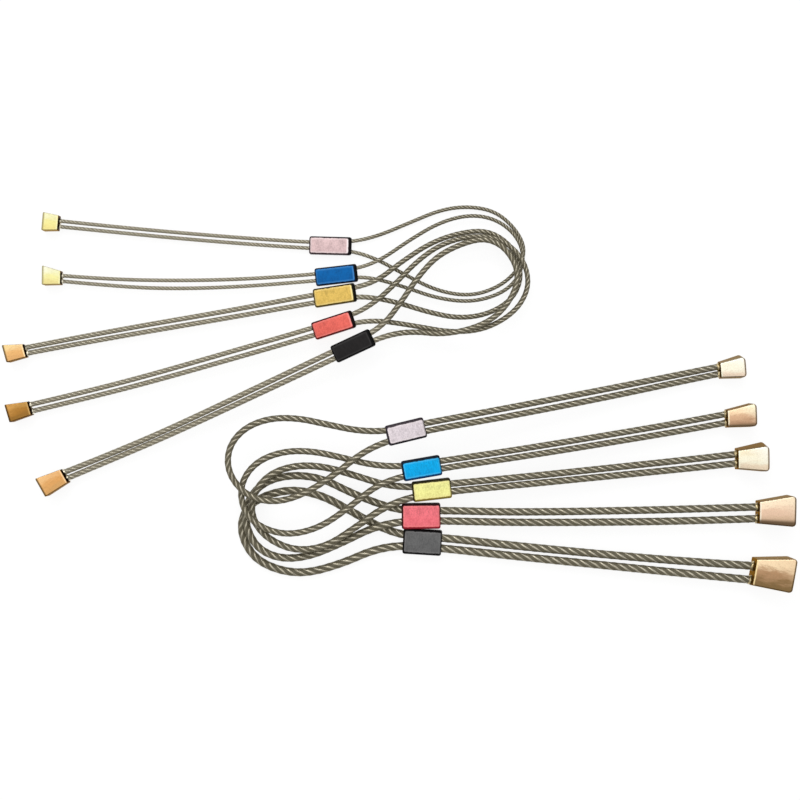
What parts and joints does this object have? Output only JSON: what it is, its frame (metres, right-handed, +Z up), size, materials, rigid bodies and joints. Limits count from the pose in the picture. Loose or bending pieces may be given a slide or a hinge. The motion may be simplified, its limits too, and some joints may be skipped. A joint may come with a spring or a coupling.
{
  "type": "set of climbing micro nuts",
  "caption": "Small brass wedges on loops of wire rope, each with a flat coloured sleeve round its two legs, lying in two fans.",
  "frame": {"origin": "on the surface that the nuts lie on, under the middle of the box round the wedges, solder and sleeves", "axes": "+X from the straight nuts' wedges to the offset nuts' wedges, +Y from the offset fan to the straight fan, +Z up"},
  "size_m": [0.3137, 0.1539, 0.0159],
  "materials": {
    "pale_brass": "die-cast brass wedge, pale yellow, satin",
    "dark_brass": "brass wedge, tarnished ochre, satin",
    "orange_brass": "brass wedge, light orange, satin",
    "rose_bronze": "bronze wedge, pale rose, tumbled",
    "wire_rope": "stranded stainless steel wire rope",
    "solder": "dull silver solder",
    "sleeve_lilac": "anodised pale lilac",
    "sleeve_blue": "anodised blue",
    "sleeve_gold": "anodised gold",
    "sleeve_red": "anodised red",
    "sleeve_black": "anodised black"
  },
  "bodies": {
    "straight_1": {"straight_1_wedge": "pale_brass", "straight_1_solder": "solder", "straight_1_cable": "wire_rope", "straight_1_sleeve": "sleeve_lilac"},
    "straight_2": {"straight_2_wedge": "pale_brass", "straight_2_solder": "solder", "straight_2_cable": "wire_rope", "straight_2_sleeve": "sleeve_blue"},
    "straight_3": {"straight_3_wedge": "orange_brass", "straight_3_solder": "solder", "straight_3_cable": "wire_rope", "straight_3_sleeve": "sleeve_gold"},
    "straight_4": {"straight_4_wedge": "dark_brass", "straight_4_solder": "solder", "straight_4_cable": "wire_rope", "straight_4_sleeve": "sleeve_red"},
    "straight_5": {"straight_5_wedge": "orange_brass", "straight_5_solder": "solder", "straight_5_cable": "wire_rope", "straight_5_sleeve": "sleeve_black"},
    "offset_1": {"offset_1_wedge": "rose_bronze", "offset_1_solder": "solder", "offset_1_cable": "wire_rope", "offset_1_sleeve": "sleeve_lilac"},
    "offset_2": {"offset_2_wedge": "rose_bronze", "offset_2_solder": "solder", "offset_2_cable": "wire_rope", "offset_2_sleeve": "sleeve_blue"},
    "offset_3": {"offset_3_wedge": "rose_bronze", "offset_3_solder": "solder", "offset_3_cable": "wire_rope", "offset_3_sleeve": "sleeve_gold"},
    "offset_4": {"offset_4_wedge": "rose_bronze", "offset_4_solder": "solder", "offset_4_cable": "wire_rope", "offset_4_sleeve": "sleeve_red"},
    "offset_5": {"offset_5_wedge": "rose_bronze", "offset_5_solder": "solder", "offset_5_cable": "wire_rope", "offset_5_sleeve": "sleeve_black"}
  },
  "joints": [
    {"name": "straight_2_lift", "type": "slide", "parent": "straight_1", "child": "straight_2", "axis": [0, 0, 1], "range_m": [0, 0.03]},
    {"name": "straight_3_lift", "type": "slide", "parent": "straight_2", "child": "straight_3", "axis": [0, 0, 1], "range_m": [0, 0.03]},
    {"name": "straight_4_lift", "type": "slide", "parent": "straight_3", "child": "straight_4", "axis": [0, 0, 1], "range_m": [0, 0.03]},
    {"name": "straight_5_lift", "type": "slide", "parent": "straight_4", "child": "straight_5", "axis": [0, 0, 1], "range_m": [0, 0.03]},
    {"name": "offset_5_lift", "type": "slide", "parent": "straight_1", "child": "offset_5", "axis": [0, 0, 1], "range_m": [0, 0.03]},
    {"name": "offset_4_lift", "type": "slide", "parent": "offset_5", "child": "offset_4", "axis": [0, 0, 1], "range_m": [0, 0.03]},
    {"name": "offset_3_lift", "type": "slide", "parent": "offset_4", "child": "offset_3", "axis": [0, 0, 1], "range_m": [0, 0.03]},
    {"name": "offset_2_lift", "type": "slide", "parent": "offset_3", "child": "offset_2", "axis": [0, 0, 1], "range_m": [0, 0.03]},
    {"name": "offset_1_lift", "type": "slide", "parent": "offset_2", "child": "offset_1", "axis": [0, 0, 1], "range_m": [0, 0.03]}
  ]
}
